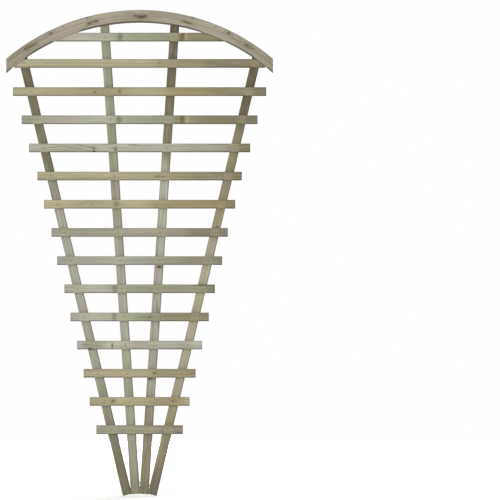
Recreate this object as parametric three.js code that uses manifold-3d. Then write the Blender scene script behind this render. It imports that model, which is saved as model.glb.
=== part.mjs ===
// A garden fan trellis: four timber uprights that spread from a narrow foot, fourteen straight slats nailed
// across their front, a short top slat, and a bowed rail over the top.
// Millimetres. The trellis stands on its foot at z = 0, faces -Y, and its origin is the middle of its foot.

import * as THREE from "three";
import { mergeVertices } from "three/addons/utils/BufferGeometryUtils.js";
import Module from "manifold-3d";

const wasm = await Module();
wasm.setup();

// Overall sizes.
const crownHeight = 1830;
const fitGap = 0.3;
const arris = 1;
const shortestCut = 2 * arris;
const cutOverrun = 5;

// The bowed rail. Its lower edge is a flatter bow than its upper one, and its ends are cut upright.
const archOuterRadius = 778;
const archCrownDepth = 48;
const archEndDepth = 54;
const archOverhang = 38;
const archThickness = 20;
const archSteps = 40;

// The uprights. Each is planed at the foot, where it closes up on its neighbour.
const uprightWidth = 34;
const uprightThickness = 16;
const innerLean = THREE.MathUtils.degToRad(3.76);
const outerLean = THREE.MathUtils.degToRad(13.44);
const innerFootBevel = 1;
const outerFootBevel = 3;
const innerFootLift = 8;
const uprightTopSteps = 3;

// The slats, numbered from the top. The second one is that far below the place where the outer uprights
// leave the rail, and the top one is part of the way from it to the rail's crown. Each slat runs past the
// outer uprights by its own share of the overhang, as slats cut by eye do.
const slatWidth = 33;
const slatThickness = 16;
const secondSlatDrop = 13.5;
const topSlatShare = 0.647;
const lowestSlatHeight = 250;
const slatOverhang = 36;
const slatOverhangShares = [1, 0.54, 1.37, 1.16, 1.1, 0.93, 0.94, 0.87, 0.98, 0.93, 0.99, 1, 1.02, 1.09, 1.1];
const slatCount = slatOverhangShares.length;
const scribeSteps = 6;

// The flat-head nails, punched just under the face of the timber.
const nailRadius = 1.4;
const nailHeadRadius = 3;
const nailHeadThickness = 1.2;
const nailPointLength = 4;
const nailSink = 0.4;
const nailBackCover = 3;
const nailSides = 8;

// The two long countersunk screws that pin the four feet together, one from each side.
const screwRadius = 2;
const screwHeadRadius = 4;
const screwHeadHeight = 2.2;
const screwPointLength = 7;
const screwBite = 22;
const screwHeight = 16;
const screwSpacing = 16;
const screwSides = 10;

// Where the layers meet: the rail and slats lie in front of this plane and the uprights behind it. The plane
// is placed so that the trellis is centred on its own depth.
const layerPlane = (archThickness - uprightThickness) / 2;

const railTimber = new THREE.MeshStandardMaterial({ color: 0x9f9987, roughness: 0.85, metalness: 0 });
const slatTimber = new THREE.MeshStandardMaterial({ color: 0xa29f87, roughness: 0.85, metalness: 0 });
const uprightTimber = new THREE.MeshStandardMaterial({ color: 0x97947e, roughness: 0.85, metalness: 0 });
const zincedSteel = new THREE.MeshStandardMaterial({ color: 0x6f6f6a, roughness: 0.45, metalness: 1 });

// A closed mesh's geometry, moved by a matrix, as a solid for cutting.
function solidOf(geometry, matrix) {
  const bare = new THREE.BufferGeometry();
  const source = geometry.index ? geometry.toNonIndexed() : geometry;
  bare.setAttribute("position", source.getAttribute("position").clone());
  bare.applyMatrix4(matrix);
  const merged = mergeVertices(bare);
  const corners = merged.index.array;
  const kept = [];
  for (let i = 0; i < corners.length; i += 3) {
    const [a, b, c] = corners.slice(i, i + 3);
    if (a !== b && b !== c && a !== c) kept.push(a, b, c);
  }
  return new wasm.Manifold(
    new wasm.Mesh({
      numProp: 3,
      vertProperties: merged.getAttribute("position").array,
      triVerts: new Uint32Array(kept),
    }),
  );
}

// The geometry of a cut solid.
function geometryOf(solid) {
  const mesh = solid.getMesh();
  const geometry = new THREE.BufferGeometry();
  geometry.setAttribute("position", new THREE.BufferAttribute(mesh.vertProperties, 3));
  geometry.setIndex(new THREE.BufferAttribute(mesh.triVerts, 1));
  return geometry;
}

// Cuts the cutters out of a mesh that hangs in the same group as they do, and adds the fillers to it.
function cut(mesh, cutters, fillers = []) {
  mesh.updateMatrix();
  const toMesh = mesh.matrix.clone().invert();
  const placed = (piece) => {
    piece.updateMatrix();
    return solidOf(piece.geometry, toMesh.clone().multiply(piece.matrix));
  };
  let solid = solidOf(mesh.geometry, new THREE.Matrix4());
  for (const cutter of cutters) solid = solid.subtract(placed(cutter));
  for (const filler of fillers) solid = solid.add(placed(filler));
  mesh.geometry = geometryOf(solid);
}

// Points on an arc about (x, y), from one angle to another.
function arcPoints(x, y, radius, from, to, steps) {
  return Array.from({ length: steps + 1 }, (_, i) => {
    const angle = from + ((to - from) * i) / steps;
    return new THREE.Vector2(x + radius * Math.cos(angle), y + radius * Math.sin(angle));
  });
}

// A board of the given outline and thickness with its back at z = 0 and eased edges.
function boardGeometry(outline, thickness) {
  const geometry = new THREE.ExtrudeGeometry(new THREE.Shape(outline), {
    depth: thickness - 2 * arris,
    bevelThickness: arris,
    bevelSize: arris,
    bevelOffset: -arris,
    bevelSegments: 1,
  });
  return geometry.translate(0, 0, arris);
}

// The right-hand uprights, from the middle outwards, each as its foot's inner corner and its lean. A foot is
// planed by its bevel, so that it lies flat on the edge beside it.
function footAfter(neighbour, lean, bevel, cornerHeight) {
  const across = new THREE.Vector2(Math.cos(neighbour.lean), -Math.sin(neighbour.lean));
  const reach = fitGap - bevel * Math.cos(lean - neighbour.lean);
  const x = neighbour.face.x + (reach - (cornerHeight - neighbour.face.y) * across.y) / across.x;
  const foot = { x, y: cornerHeight, lean, bevel, bevelHeight: bevel / Math.tan(lean - neighbour.lean) };
  foot.face = new THREE.Vector2(
    x + uprightWidth * Math.cos(lean),
    cornerHeight - uprightWidth * Math.sin(lean),
  );
  return foot;
}

const outerArcCentre = crownHeight - archOuterRadius;
const middle = { lean: 0, face: new THREE.Vector2(-fitGap / 2, 0) };
const innerFoot = footAfter(middle, innerLean, innerFootBevel, innerFootLift);
const outerFoot = footAfter(innerFoot, outerLean, outerFootBevel, uprightWidth * Math.sin(outerLean));

// A point of an upright, from its own frame: x across it from the inner edge, y along it from the foot.
function uprightPoint(foot, x, y) {
  return new THREE.Vector2(
    foot.x + x * Math.cos(foot.lean) + y * Math.sin(foot.lean),
    foot.y - x * Math.sin(foot.lean) + y * Math.cos(foot.lean),
  );
}

// How far along an upright, at x across it, a circle about the trellis's centre line is met.
function lengthToCircle(foot, x, centreHeight, radius) {
  const fromFoot = new THREE.Vector2(-foot.x, centreHeight - foot.y);
  const centreX = fromFoot.x * Math.cos(foot.lean) - fromFoot.y * Math.sin(foot.lean);
  const centreY = fromFoot.x * Math.sin(foot.lean) + fromFoot.y * Math.cos(foot.lean);
  return { centreX, centreY, length: centreY + Math.sqrt(radius ** 2 - (x - centreX) ** 2) };
}

// How far from the trellis's centre line an upright's outer top corner is.
function topCornerX(foot) {
  const { length } = lengthToCircle(foot, uprightWidth, outerArcCentre, archOuterRadius);
  return uprightPoint(foot, uprightWidth, length).x;
}

// An upright's outline in its own frame: a square foot with its inner corner planed, and a top trimmed flush
// with the rail's upper edge.
function uprightOutline(foot) {
  const inner = lengthToCircle(foot, 0, outerArcCentre, archOuterRadius);
  const outer = lengthToCircle(foot, uprightWidth, outerArcCentre, archOuterRadius);
  const angleTo = (x, length) => Math.atan2(length - inner.centreY, x - inner.centreX);
  return [
    new THREE.Vector2(foot.bevel, 0),
    new THREE.Vector2(uprightWidth, 0),
    ...arcPoints(
      inner.centreX,
      inner.centreY,
      archOuterRadius,
      angleTo(uprightWidth, outer.length),
      angleTo(0, inner.length),
      uprightTopSteps,
    ),
    new THREE.Vector2(0, foot.bevelHeight),
  ];
}

// The point of an upright's centre line at a height.
function centreLineAt(foot, height) {
  const start = uprightPoint(foot, uprightWidth / 2, 0);
  return new THREE.Vector2(start.x + (height - start.y) * Math.tan(foot.lean), height);
}

// The half-width over the outer uprights at a height.
function fanHalfWidth(height) {
  return outerFoot.face.x + (height - outerFoot.face.y) * Math.tan(outerLean);
}

// The rail's lower edge is the arc through its crown's underside and its two end cuts' lower corners.
const archHalfWidth = topCornerX(outerFoot) + archOverhang;
const archEndRise = Math.sqrt(archOuterRadius ** 2 - archHalfWidth ** 2);
const innerArcRise = archOuterRadius - archCrownDepth + archEndDepth - archEndRise;
const archInnerRadius = (archHalfWidth ** 2 + innerArcRise ** 2) / (2 * innerArcRise);
const innerArcCentre = crownHeight - archCrownDepth - archInnerRadius;

// The rail: two arcs joined by upright end cuts.
function archOutline() {
  const outerEnd = Math.acos(archHalfWidth / archOuterRadius);
  const innerEnd = Math.acos(archHalfWidth / archInnerRadius);
  return [
    ...arcPoints(0, outerArcCentre, archOuterRadius, outerEnd, Math.PI - outerEnd, archSteps),
    ...arcPoints(0, innerArcCentre, archInnerRadius, Math.PI - innerEnd, innerEnd, archSteps),
  ];
}

// Half the width under the rail at a height, less the fitting gap. Below the rail's ends nothing limits it.
function halfWidthUnderArch(height) {
  const radius = archInnerRadius - fitGap;
  const rise = height - innerArcCentre;
  return rise > 0 && rise < radius ? Math.sqrt(radius ** 2 - rise ** 2) : Infinity;
}

// One half of a slat's outline, from its lower corner to its upper one. Where the slat reaches the rail, its
// end is scribed to the rail's underside. A square or scribed stretch too short to cut is left out.
function slatEnd(halfLength, height) {
  const low = height - slatWidth / 2;
  const high = height + slatWidth / 2;
  const reach = halfWidthUnderArch(high);
  if (reach > halfLength - shortestCut) {
    const x = Math.min(halfLength, reach);
    return [new THREE.Vector2(x, low), new THREE.Vector2(x, high)];
  }
  const radius = archInnerRadius - fitGap;
  const squareTop = innerArcCentre + Math.sqrt(Math.max(0, radius ** 2 - halfLength ** 2));
  const scribeLow = squareTop > low + shortestCut ? squareTop : low;
  const from = Math.asin((scribeLow - innerArcCentre) / radius);
  const to = Math.asin((high - innerArcCentre) / radius);
  const scribed = arcPoints(0, innerArcCentre, radius, from, to, scribeSteps);
  return scribeLow > low ? [new THREE.Vector2(halfLength, low), ...scribed] : scribed;
}

function slatOutline(halfLength, height) {
  const right = slatEnd(halfLength, height);
  const left = right.map((p) => new THREE.Vector2(-p.x, p.y)).reverse();
  return [...right, ...left].map((p) => new THREE.Vector2(p.x, p.y - height));
}

// Heights of the slats' centre lines, from the top one down. Those below the second one are evenly spaced.
const lengthBelowRail = lengthToCircle(outerFoot, uprightWidth / 2, innerArcCentre, archInnerRadius).length;
const secondSlatHeight = uprightPoint(outerFoot, uprightWidth / 2, lengthBelowRail).y - secondSlatDrop;
const roomUnderCrown = crownHeight - archCrownDepth - secondSlatHeight;
const slatPitch = (secondSlatHeight - lowestSlatHeight) / (slatCount - 2);
const slatHeights = Array.from({ length: slatCount }, (_, i) =>
  i === 0 ? secondSlatHeight + topSlatShare * roomUnderCrown : secondSlatHeight - (i - 1) * slatPitch,
);

// A turned fastener along y with the top of its head at y = 0.
function turned(profile, sides) {
  return new THREE.LatheGeometry(profile.map(([r, y]) => new THREE.Vector2(r, y)), sides);
}

function nailGeometry(length) {
  return turned(
    [
      [0, -length],
      [nailRadius, nailPointLength - length],
      [nailRadius, -nailHeadThickness],
      [nailHeadRadius, -nailHeadThickness],
      [nailHeadRadius, 0],
      [0, 0],
    ],
    nailSides,
  );
}

// The hole that a nail of that length fills, open past the face. The flats of the many-sided hole clear the
// corners of the many-sided nail.
function nailHoleGeometry(length) {
  const flats = 1 / Math.cos(Math.PI / nailSides);
  const shank = (nailRadius + fitGap) * flats;
  const head = (nailHeadRadius + fitGap) * flats;
  return turned(
    [
      [0, -length - fitGap],
      [shank, -length - fitGap],
      [shank, -nailHeadThickness - fitGap],
      [head, -nailHeadThickness - fitGap],
      [head, cutOverrun],
      [0, cutOverrun],
    ],
    nailSides,
  );
}

// The punched dimple of a nail whose head is one with its slat, and that head.
function dimpleGeometry() {
  const rim = (nailHeadRadius + fitGap) / Math.cos(Math.PI / nailSides);
  const depth = nailHeadThickness / 2;
  return turned([[0, -depth], [rim, -depth], [rim, cutOverrun], [0, cutOverrun]], nailSides);
}

function headGeometry() {
  return turned(
    [[0, -nailHeadThickness], [nailHeadRadius, -nailHeadThickness], [nailHeadRadius, 0], [0, 0]],
    nailSides,
  );
}

const screwLength = 2 * uprightWidth + screwBite;

function screwGeometry() {
  return turned(
    [
      [0, -screwLength],
      [screwRadius, screwPointLength - screwLength],
      [screwRadius, -screwHeadHeight],
      [screwHeadRadius, 0],
      [0, 0],
    ],
    screwSides,
  );
}

function screwHoleGeometry() {
  const flats = 1 / Math.cos(Math.PI / screwSides);
  const shank = (screwRadius + fitGap) * flats;
  const head = (screwHeadRadius + fitGap) * flats;
  return turned(
    [
      [0, -screwLength - fitGap],
      [shank, -screwLength - fitGap],
      [shank, -screwHeadHeight - fitGap],
      [head, -fitGap],
      [head, cutOverrun],
      [0, cutOverrun],
    ],
    screwSides,
  );
}

// A nail or its hole, square to the face, with its top at the given distance in front of the layers' plane.
function driven(geometry, point, top) {
  const mesh = new THREE.Mesh(geometry, zincedSteel);
  mesh.rotation.x = Math.PI / 2;
  mesh.position.set(point.x, point.y, top);
  return mesh;
}

// The trellis as drawn face on: x to the right, y up, and z towards the viewer from the layers' plane.
const face = new THREE.Group();
face.rotation.x = Math.PI / 2;
face.position.y = layerPlane;

const arch = new THREE.Mesh(boardGeometry(archOutline(), archThickness), railTimber);
arch.name = "arch_rail";
face.add(arch);

const uprights = [];
for (const side of [-1, 1]) {
  for (const [place, foot] of [["inner", innerFoot], ["outer", outerFoot]]) {
    const outline = uprightOutline(foot).map((p) => new THREE.Vector2(side * p.x, p.y));
    const mesh = new THREE.Mesh(boardGeometry(outline, uprightThickness), uprightTimber);
    const name = `${side < 0 ? "left" : "right"}_${place}`;
    mesh.name = `upright_${name}`;
    mesh.position.set(side * foot.x, foot.y, -uprightThickness);
    mesh.rotation.z = -side * foot.lean;
    face.add(mesh);
    uprights.push({ mesh, name, foot, side, place, holes: [] });
  }
}

// Drives one nail through a front piece into an upright, and keeps its hole for both.
function nail(piece, point, thickness, frontHoles, upright) {
  const length = thickness + uprightThickness - nailBackCover - nailSink;
  const top = thickness - nailSink;
  const mesh = driven(nailGeometry(length), point, top);
  mesh.name = `nail_${piece.name}_${upright.name}`;
  face.add(mesh);
  const hole = driven(nailHoleGeometry(length), point, top);
  frontHoles.push(hole);
  upright.holes.push(hole);
}

// Whether a slat's nail into an upright is a separate piece. On the outer uprights all are, and on the inner
// ones those of the top two slats and the lowest. The others show as a head in a dimple, one with the slat.
function isSeparateNail(slatIndex, upright) {
  return upright.place === "outer" || slatIndex < 2 || slatIndex === slatCount - 1;
}

// The slats, each nailed once to every upright that it crosses. The top one ends before the outer uprights.
slatHeights.forEach((height, i) => {
  const number = String(i + 1).padStart(2, "0");
  const halfLength = fanHalfWidth(height) + slatOverhang * slatOverhangShares[i];
  const slat = new THREE.Mesh(boardGeometry(slatOutline(halfLength, height), slatThickness), slatTimber);
  slat.name = `slat_${number}`;
  slat.position.y = height;
  face.add(slat);

  const holes = [];
  const heads = [];
  for (const upright of uprights) {
    if (i === 0 && upright.place === "outer") continue;
    const point = centreLineAt(upright.foot, height);
    point.x *= upright.side;
    if (isSeparateNail(i, upright)) {
      nail(slat, point, slatThickness, holes, upright);
    } else {
      holes.push(driven(dimpleGeometry(), point, slatThickness));
      heads.push(driven(headGeometry(), point, slatThickness - nailSink));
    }
  }
  cut(slat, holes, heads);
});

// The rail is nailed once to each upright, at the middle of its own depth there.
const archHoles = [];
for (const upright of uprights) {
  const halfWidth = uprightWidth / 2;
  const low = lengthToCircle(upright.foot, halfWidth, innerArcCentre, archInnerRadius).length;
  const high = lengthToCircle(upright.foot, halfWidth, outerArcCentre, archOuterRadius).length;
  const point = uprightPoint(upright.foot, halfWidth, (low + high) / 2);
  point.x *= upright.side;
  nail(arch, point, archThickness, archHoles, upright);
}
cut(arch, archHoles);

// The foot screws run square to the outer uprights' outer edges, half way through the uprights' thickness.
// The right one is above the left one, so that they pass each other.
for (const [side, height] of [[-1, screwHeight], [1, screwHeight + screwSpacing]]) {
  const start = uprightPoint(outerFoot, uprightWidth, height);
  const place = (geometry) => {
    const mesh = new THREE.Mesh(geometry, zincedSteel);
    mesh.position.set(side * start.x, start.y, -uprightThickness / 2);
    mesh.rotation.z = -side * (Math.PI / 2 + outerLean);
    return mesh;
  };
  const screw = place(screwGeometry());
  screw.name = `foot_screw_${side < 0 ? "left" : "right"}`;
  face.add(screw);
  for (const upright of uprights) upright.holes.push(place(screwHoleGeometry()));
}
for (const upright of uprights) cut(upright.mesh, upright.holes);

const trellis = new THREE.Group();
trellis.add(face);

export default trellis;
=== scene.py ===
"""A garden fan trellis in pressure-treated softwood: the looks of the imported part.

Metres, in the part's own frame: it stands on z = 0, faces -Y and is centred on x = 0. Every timber is
built as a fine mesh round its own grain, so that the material of weathered timber can follow the bowed
rail, the slats and the leaning uprights.
"""

import math

import bmesh
import bpy
from mathutils import Matrix, Vector, noise


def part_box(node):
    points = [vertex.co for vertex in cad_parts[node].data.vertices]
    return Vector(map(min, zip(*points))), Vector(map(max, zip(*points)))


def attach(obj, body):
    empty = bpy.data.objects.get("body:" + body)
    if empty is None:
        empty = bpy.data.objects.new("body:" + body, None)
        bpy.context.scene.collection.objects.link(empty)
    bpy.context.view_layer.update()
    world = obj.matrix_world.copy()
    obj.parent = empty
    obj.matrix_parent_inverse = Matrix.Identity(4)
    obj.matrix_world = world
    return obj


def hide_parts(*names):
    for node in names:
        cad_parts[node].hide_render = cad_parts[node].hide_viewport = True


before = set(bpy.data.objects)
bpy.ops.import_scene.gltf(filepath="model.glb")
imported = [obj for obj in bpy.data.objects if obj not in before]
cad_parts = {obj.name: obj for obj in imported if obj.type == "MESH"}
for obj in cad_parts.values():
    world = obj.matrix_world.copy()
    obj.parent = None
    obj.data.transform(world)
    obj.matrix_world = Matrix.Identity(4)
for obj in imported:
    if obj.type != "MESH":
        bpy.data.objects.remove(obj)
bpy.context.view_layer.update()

# Sizes of the trellis that its nodes' boxes don't give.
RAIL_OUTER_RADIUS = 0.778
RAIL_CROWN_DEPTH = 0.048
SCRIBE_GAP = 0.0001
UPRIGHT_WIDTH = 0.034
LEANS = {"inner": math.radians(3.76), "outer": math.radians(13.44)}
FOOT_BEVELS = {"inner": 0.001, "outer": 0.003}
SCREW_HEIGHTS = {"left": 0.016, "right": 0.032}
SCRIBED_SLATS = ("slat_01", "slat_02")

# Where in the noises each timber's grain lies. The slats and the uprights count up from these.
RAIL_SEED = 1
FIRST_SLAT_SEED = 2
FIRST_UPRIGHT_SEED = 20

# How finely the timbers are meshed, and how far weather and handling have eaten into them.
ARRIS = 0.0013
END_ARRIS = 0.0004
ARRIS_STEPS = 3
ARRIS_END_SHARE = 0.5
CAP_SHARE = 0.85
STATION_STEP = 0.007
ACROSS_STEPS = 8
FACE_WAVE = 0.0002
EDGE_WEAR = 0.0004
WAVE_SCALE = 18
WEAR_SCALE = 55

# The painted shade along each timber's lower or right-hand edge: how wide and how dark it is, and how dark
# the ends are painted beside it.
SLAT_PAINTED_SHADE = (0.0052, 0.62, 0.5)
RAIL_PAINTED_SHADE = (0.0082, 0.72, 0)
UPRIGHT_PAINTED_SHADE = (0.0046, 0.5, 0.5)
PAINTED_SHADE_FULL_SHARE = 0.5
PAINTED_SHADE_LEAST_SHARE = 0.8

# The painted shade along the edge opposite is narrower and fainter.
FAR_WIDTH_SHARE = 0.7
FAR_PAINTED_SHADE_SHARE = 0.24

# The painted shade under the rail stops where a slat lies tight against it, less so on the right, where a
# hair of shadow is painted in the joint.
JOINT_TAPER = 0.005
RIGHT_JOINT_TIGHTNESS = 0.5

# Where a slat lies on an upright it has stayed drier, and slightly yellower. The painted edge shade is cut
# back there.
CROSSING_REACH = 0.0165
CROSSING_SOFTNESS = 0.002
PAINTED_SHADE_CUT_OVER_UPRIGHTS = 0.75
DRY_TINT = 0.22
DRY_TONE = "wheat"

# The nails and screws, and the pits that their heads are punched into.
NAIL_HEAD_RADIUS = 0.003
NAIL_HEAD_THICKNESS = 0.0012
NAIL_DOME_RADIUS = 0.0018
NAIL_DOME_HEIGHT = 0.00006
NAIL_RIM_RADIUS = 0.0026
NAIL_RIM_HEIGHTS = (0.00016, 0.00048)
NAIL_SHANK_RADIUS = 0.0014
NAIL_POINT_LENGTH = 0.0042
NAIL_SINK = 0.0004
PIT_RADIUS = 0.0031
PIT_DEPTH = 0.0016
SCREW_LENGTH = 0.09
SCREW_HEAD_RADIUS = 0.004
SCREW_HEAD_HEIGHT = 0.0022
SCREW_FACE_RADIUS = 0.0036
SCREW_RIM_HEIGHT = 0.00016
SCREW_SHANK_RADIUS = 0.002
SCREW_POINT_LENGTH = 0.006
SCREW_RECESS_LENGTH = 0.0044
SCREW_RECESS_WIDTH = 0.0009
SCREW_RECESS_DEPTH = 0.0014
TURNED_SIDES = 24
SHARP_ANGLE = math.radians(35)

# The tones of the weathered timber. Their codes were tuned to mean colours measured in the photo.
TONES = {
    "pearl": "c1bfb0",
    "frost": "b5b4a5",
    "silver": "aba99a",
    "ash": "a19e8e",
    "mist": "a3a396",
    "reed": "a9ab94",
    "sage": "a0a28c",
    "sedge": "9a9984",
    "fern": "93967f",
    "lichen": "858c69",
    "chaff": "bab391",
    "wheat": "b0a988",
    "oat": "b0ac92",
    "straw": "aca68a",
    "tan": "a0987b",
    "flax": "989074",
    "honey": "9d916f",
    "tawny": "918565",
    "drab": "908d78",
    "olive": "8d876c",
    "hazel": "867f65",
    "moor": "7f7c68",
    "bracken": "787460",
    "peat": "706b55",
    "umber": "69634d",
    "dove": "a8a190",
    "fawn": "9f9886",
    "lead": "85826e",
    "clay": "877e6d",
    "mauve": "7a6a60",
    "rose": "b9aa9d",
    "moss": "6f7d66",
    "fir": "5d6250",
    "rust": "775e3f",
    "ochre": "7c7150",
    "iron": "888262",
    "knot": "655a40",
    "bark": "403a2c",
    "plum": "4c3a3c",
}

# Each timber's tones, from left to right or from foot to top, fitted to mean colours in the photo.
TIMBER_TONES = {
    "arch_rail": "fawn fawn dove dove dove fawn dove dove dove fawn fawn",
    "slat_01": "silver frost silver sage fern olive olive",
    "slat_02": "straw straw straw straw flax hazel hazel",
    "slat_03": "straw wheat tan straw honey olive moor",
    "slat_04": "ash silver frost sage drab hazel moor",
    "slat_05": "frost reed frost frost frost silver olive",
    "slat_06": "straw straw wheat straw tan olive hazel",
    "slat_07": "chaff straw straw wheat honey honey tawny",
    "slat_08": "ash ash ash ash sedge lead lead",
    "slat_09": "mist mist silver mist sedge drab lead",
    "slat_10": "silver frost silver sage sedge sedge lead",
    "slat_11": "silver frost silver sage drab olive olive",
    "slat_12": "frost ash pearl silver frost silver pearl",
    "slat_13": "straw straw wheat straw tan tan tan",
    "slat_14": "straw wheat chaff wheat tan honey straw",
    "slat_15": "sage ash sedge sedge sedge drab drab",
    "upright_left_inner": "drab sage reed silver silver sedge sedge sage sage",
    "upright_left_outer": "bracken lead sedge silver silver silver bracken bracken umber",
    "upright_right_inner": "olive olive silver silver silver frost olive peat umber",
    "upright_right_outer": "bracken flax straw oat oat tan olive umber umber",
}

# The paler and the darker tone that each timber's blotches turn to.
BLOTCH_TONES = {
    "arch_rail": ("frost", "clay"),
    "slat_01": ("frost", "sage"),
    "slat_03": ("tan", "olive"),
    "slat_05": ("frost", "ash"),
    "slat_12": ("frost", "ash"),
    "slat_14": ("wheat", "tan"),
}
USUAL_BLOTCH_TONES = ("silver", "olive")

# How far the grain wanders and how strongly the growth rings show, where either is more than usual.
FIGURES = {
    "arch_rail": (1, 1.5),
    "slat_05": (2.6, 2.2),
    "slat_12": (2, 1.4),
    "upright_right_inner": (1.8, 1.6),
}
USUAL_FIGURE = (1, 1)

# Knots and stains: kind, place along and across, half-length, half-width and degrees aslant, if any.
MARK_SHARES = {
    "arch_rail": [
        ("rose", 0.5, 0.5, 1.5, 0.3),
        ("mauve", 0.5, 0.02, 0.85, 0.24),
        ("plum", 0.486, 0.16, 0.26, 0.08, -32),
        ("plum", 0.5035, -0.12, 0.36, 0.16),
        ("plum", 0.517, 0.02, 0.2, 0.11, 28),
        ("mauve", 0.461, 0.56, 0.4, 0.12),
        ("frost", 0.49, 0.85, 3.2, 0.12),
        ("bracken", 0.541, 0.5, 0.26, 0.09),
        ("knot", 0.319, -0.1, 0.36, 0.14),
        ("knot", 0.341, 0, 0.3, 0.12),
        ("knot", 0.662, -0.04, 0.28, 0.11),
        ("knot", 0.68, -0.12, 0.33, 0.12),
        ("bark", 0.316, 0.86, 0.14, 0.06),
        ("bark", 0.685, 0.86, 0.16, 0.06),
        ("bracken", 0.228, 0.6, 0.16, 0.12),
        ("bracken", 0.772, 0.6, 0.2, 0.13),
        ("knot", 0.178, 0.55, 0.24, 0.12),
        ("knot", 0.822, 0.55, 0.24, 0.12),
        ("olive", 0.865, 0.6, 0.3, 0.14),
        ("knot", 0.103, 0.24, 0.4, 0.13),
        ("bracken", 0.085, 0.4, 0.6, 0.17),
        ("ochre", 0.088, 0.24, 0.44, 0.15),
        ("knot", 0.0765, 0.4, 0.3, 0.12),
        ("clay", 0.05, 0.4, 0.6, 0.12),
        ("clay", 0.912, 0.42, 0.7, 0.3),
        ("knot", 0.898, 0.3, 0.28, 0.13),
        ("rust", 0.921, 0.34, 0.44, 0.09, 30),
    ],
    "slat_01": [
        ("frost", 0.295, 0, 1.3, 1.2),
        ("moss", 0.384, 0, 0.5, 1.1),
        ("fern", 0.579, 0, 0.5, 0.16),
        ("mauve", 0.741, 0, 0.5, 1.2),
        ("rust", 0.753, 0, 0.34, 1.2),
        ("wheat", 0.775, 0, 0.26, 0.9),
    ],
    "slat_02": [
        ("bracken", 0.578, 0.1, 0.3, 0.22),
        ("straw", 0.602, 0, 0.5, 0.7),
    ],
    "slat_03": [
        ("knot", 0.323, -0.2, 0.18, 0.13),
        ("knot", 0.421, 0.1, 0.16, 0.3),
        ("honey", 0.64, 0, 1.5, 1.2),
        ("honey", 0.74, 0, 1.6, 0.8),
    ],
    "slat_04": [
        ("moss", 0.413, 0.1, 0.56, 0.8),
        ("lichen", 0.655, 0, 0.6, 1.1),
        ("rust", 0.68, 0, 0.5, 1.2),
        ("wheat", 0.703, 0, 0.4, 0.9),
    ],
    "slat_05": [
        ("bark", 0.293, -0.9, 0.2, 0.3),
        ("fir", 0.2275, -0.28, 3.2, 0.07, -9),
        ("fir", 0.257, 0.3, 2, 0.08, -13),
        ("fir", 0.29, 0, 0.6, 0.16, -12),
        ("fir", 0.1, 0.1, 2.8, 0.05, 6),
        ("bark", 0.391, -0.28, 0.15, 0.26),
        ("silver", 0.533, 0, 1.1, 0.5),
        ("silver", 0.75, 0, 1.1, 0.5),
    ],
    "slat_06": [
        ("ochre", 0.585, -0.05, 0.6, 0.22),
        ("ochre", 0.614, -0.1, 0.2, 0.2),
    ],
    "slat_07": [
        ("bracken", 0.249, -0.15, 0.18, 0.18),
        ("knot", 0.378, 0, 0.3, 0.24),
        ("honey", 0.627, 0, 2, 0.9),
    ],
    "slat_08": [
        ("fern", 0.184, 0, 0.6, 0.3),
        ("ochre", 0.615, 0, 0.2, 0.16),
    ],
    "slat_09": [
        ("sedge", 0.7, 0.3, 1.6, 0.3),
    ],
    "slat_10": [
        ("bracken", 0.336, 0, 0.5, 1.1),
        ("bracken", 0.575, -0.04, 0.7, 0.1),
        ("knot", 0.9, 0.85, 0.7, 0.1),
        ("clay", 0.914, -0.4, 0.5, 0.4),
    ],
    "slat_11": [
        ("bracken", 0.317, 0, 0.42, 1),
        ("bracken", 0.52, 0, 1.1, 0.14),
        ("knot", 0.575, 0, 0.24, 0.1),
        ("olive", 0.75, 0, 2.4, 0.9),
    ],
    "slat_12": [
        ("bark", 0.104, -0.9, 0.36, 0.2),
        ("bracken", 0.07, 0.1, 0.8, 0.12),
        ("knot", 0.282, -0.12, 0.13, 0.32),
    ],
    "slat_13": [
        ("ochre", 0.632, 0.05, 0.4, 0.24),
        ("knot", 0.634, 0.05, 0.16, 0.12),
    ],
    "slat_14": [
        ("knot", 0.236, 0.05, 0.24, 0.21),
        ("tan", 0.764, 0, 1.5, 0.6),
        ("ochre", 0.84, 0.1, 0.55, 0.24),
    ],
    "slat_15": [
        ("bracken", 0.769, -0.4, 0.2, 0.2),
    ],
    "upright_left_inner": [
        ("tan", 0.005, 0, 0.7, 1.2),
        ("bracken", 0.86, 0.9, 1.8, 0.12),
    ],
    "upright_left_outer": [
        ("bracken", 0.06, 0, 3, 0.9),
        ("bracken", 0.745, 0, 1.5, 1.2),
        ("umber", 0.926, 0, 0.7, 1.2),
    ],
    "upright_right_inner": [
        ("clay", 0.01, -0.4, 1, 0.7),
        ("knot", 0.24, -0.3, 0.2, 0.4),
        ("bracken", 0.395, 0.1, 1.1, 0.16),
        ("olive", 0.16, 0, 1.5, 1.2),
        ("knot", 0.472, 0, 0.12, 0.38),
        ("bark", 0.473, 0.15, 0.1, 0.26),
        ("clay", 0.79, -0.1, 2.4, 0.6),
    ],
    "upright_right_outer": [
        ("clay", 0.047, 0.2, 1.4, 0.4),
        ("clay", 0.112, 0.2, 1.2, 0.35),
        ("ochre", 0.602, 0.3, 0.3, 0.3),
        ("olive", 0.806, 0, 1, 1.2),
    ],
}

# How strongly each kind of mark shows. The grain flows round the knots, which have a halo.
MARK_STRENGTHS = {
    "knot": 0.8,
    "bark": 0.9,
    "plum": 0.8,
    "moss": 0.75,
    "fir": 0.6,
    "lichen": 0.7,
    "rust": 0.8,
    "ochre": 0.8,
    "bracken": 0.6,
    "iron": 0.2,
}
USUAL_MARK_STRENGTH = 0.5
KNOTS = ("bark", "knot", "plum")
HALO_STRENGTH = 0.3
HALO_TONE = "knot"

# Where a mark and a knot's halo start and are full, in the mark's own sizes, and how ragged they are.
MARK_RIM = (0.95, 0.25)
HALO_RIM = (2.4, 0.5)
MARK_RAGGEDNESS = 0.9

# The half-length and half-width of the iron stain round a nail.
IRON_STAIN_REACH = (0.009, 0.007)

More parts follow.
